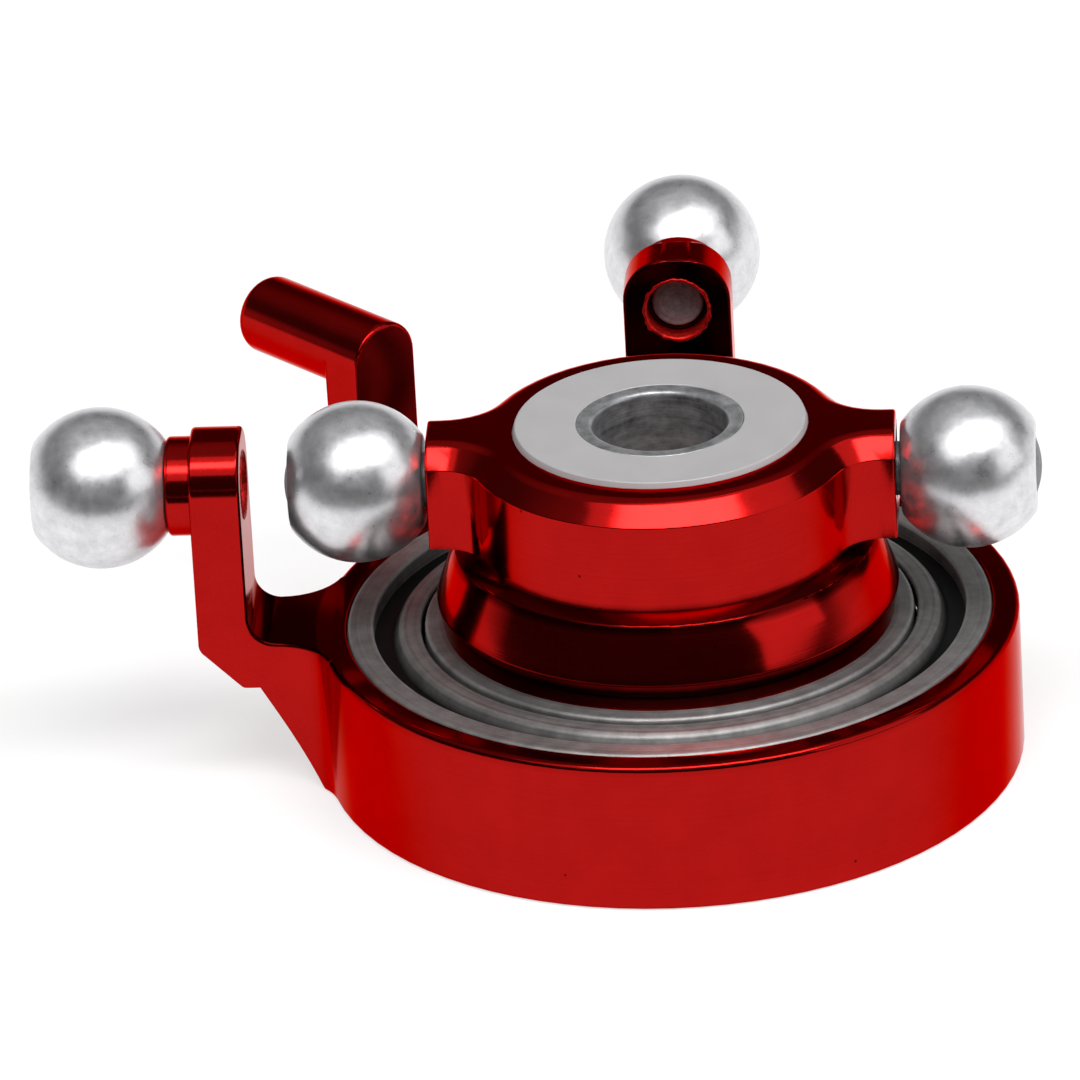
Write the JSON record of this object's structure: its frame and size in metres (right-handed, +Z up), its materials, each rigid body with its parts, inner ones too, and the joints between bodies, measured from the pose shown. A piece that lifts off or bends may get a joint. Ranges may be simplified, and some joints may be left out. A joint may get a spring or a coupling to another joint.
{
  "type": "helicopter swashplate",
  "caption": "Two-servo model helicopter swashplate: a ball-bearing hub with link balls turns in an outer ring with servo arms and a guide pin, and tilts on a uniball.",
  "frame": {"origin": "centre of the uniball, on the main shaft's axis, where both tilt axes cross it; the link balls' centres lie in its plane", "axes": "+Z up the main shaft towards the rotor, -X towards the left servo arm, +Y towards the rear servo arm"},
  "size_m": [0.0187, 0.0177, 0.0072],
  "materials": {
    "red_anodised": "clear red anodised over turned and milled faces",
    "bearing_steel": "ground",
    "shield_steel": "pressed sheet",
    "ball_steel": "polished",
    "cage_steel": "pressed",
    "link_ball": "turned and tumbled",
    "pin_steel": "turned",
    "spring_steel": "blackened",
    "seat_brass": "turned",
    "lock_steel": "turned",
    "liner_plastic": "moulded acetal",
    "uniball_aluminium": "bead blasted",
    "sleeve_steel": "reamed"
  },
  "bodies": {
    "stationary_ring": {"outer_ring": "red_anodised", "bearing_outer_race": "bearing_steel", "upper_shield": "shield_steel", "lower_shield": "shield_steel", "left_servo_ball": "link_ball", "left_servo_pin": "pin_steel", "rear_servo_ball": "link_ball", "rear_servo_pin": "pin_steel"},
    "cage": {"bearing_cage": "cage_steel", "bearing_ball_01": "ball_steel", "bearing_ball_02": "ball_steel", "bearing_ball_03": "ball_steel", "bearing_ball_04": "ball_steel", "bearing_ball_05": "ball_steel", "bearing_ball_06": "ball_steel", "bearing_ball_07": "ball_steel", "bearing_ball_08": "ball_steel", "bearing_ball_09": "ball_steel", "bearing_ball_10": "ball_steel", "bearing_ball_11": "ball_steel", "bearing_ball_12": "ball_steel", "bearing_ball_13": "ball_steel", "bearing_ball_14": "ball_steel"},
    "rotating_hub": {"hub": "red_anodised", "bearing_inner_race": "bearing_steel", "snap_ring": "spring_steel", "ball_seat": "seat_brass", "lock_ring": "lock_steel", "left_link_ball": "link_ball", "left_link_pin": "pin_steel", "right_link_ball": "link_ball", "right_link_pin": "pin_steel"},
    "liner": {"ball_liner": "liner_plastic"},
    "shaft_ball": {"uniball": "uniball_aluminium", "shaft_sleeve": "sleeve_steel"}
  },
  "joints": [
    {"name": "hub_spin", "type": "hinge", "parent": "stationary_ring", "child": "rotating_hub", "pos_m": [0, 0, 0], "axis": [0, 0, 1], "continuous": true},
    {"name": "cage_spin", "type": "hinge", "parent": "stationary_ring", "child": "cage", "pos_m": [0, 0, -0.00405], "axis": [0, 0, 1], "continuous": true},
    {"name": "tilt_roll", "type": "hinge", "parent": "rotating_hub", "child": "liner", "pos_m": [0, 0, 0], "axis": [1, 0, 0], "range_deg": [-10, 10]},
    {"name": "tilt_pitch", "type": "hinge", "parent": "liner", "child": "shaft_ball", "pos_m": [0, 0, 0], "axis": [0, 1, 0], "range_deg": [-10, 10]}
  ],
  "couplings": [
    {"joint": "cage_spin", "follows": "hub_spin", "ratio": 0.4423}
  ]
}
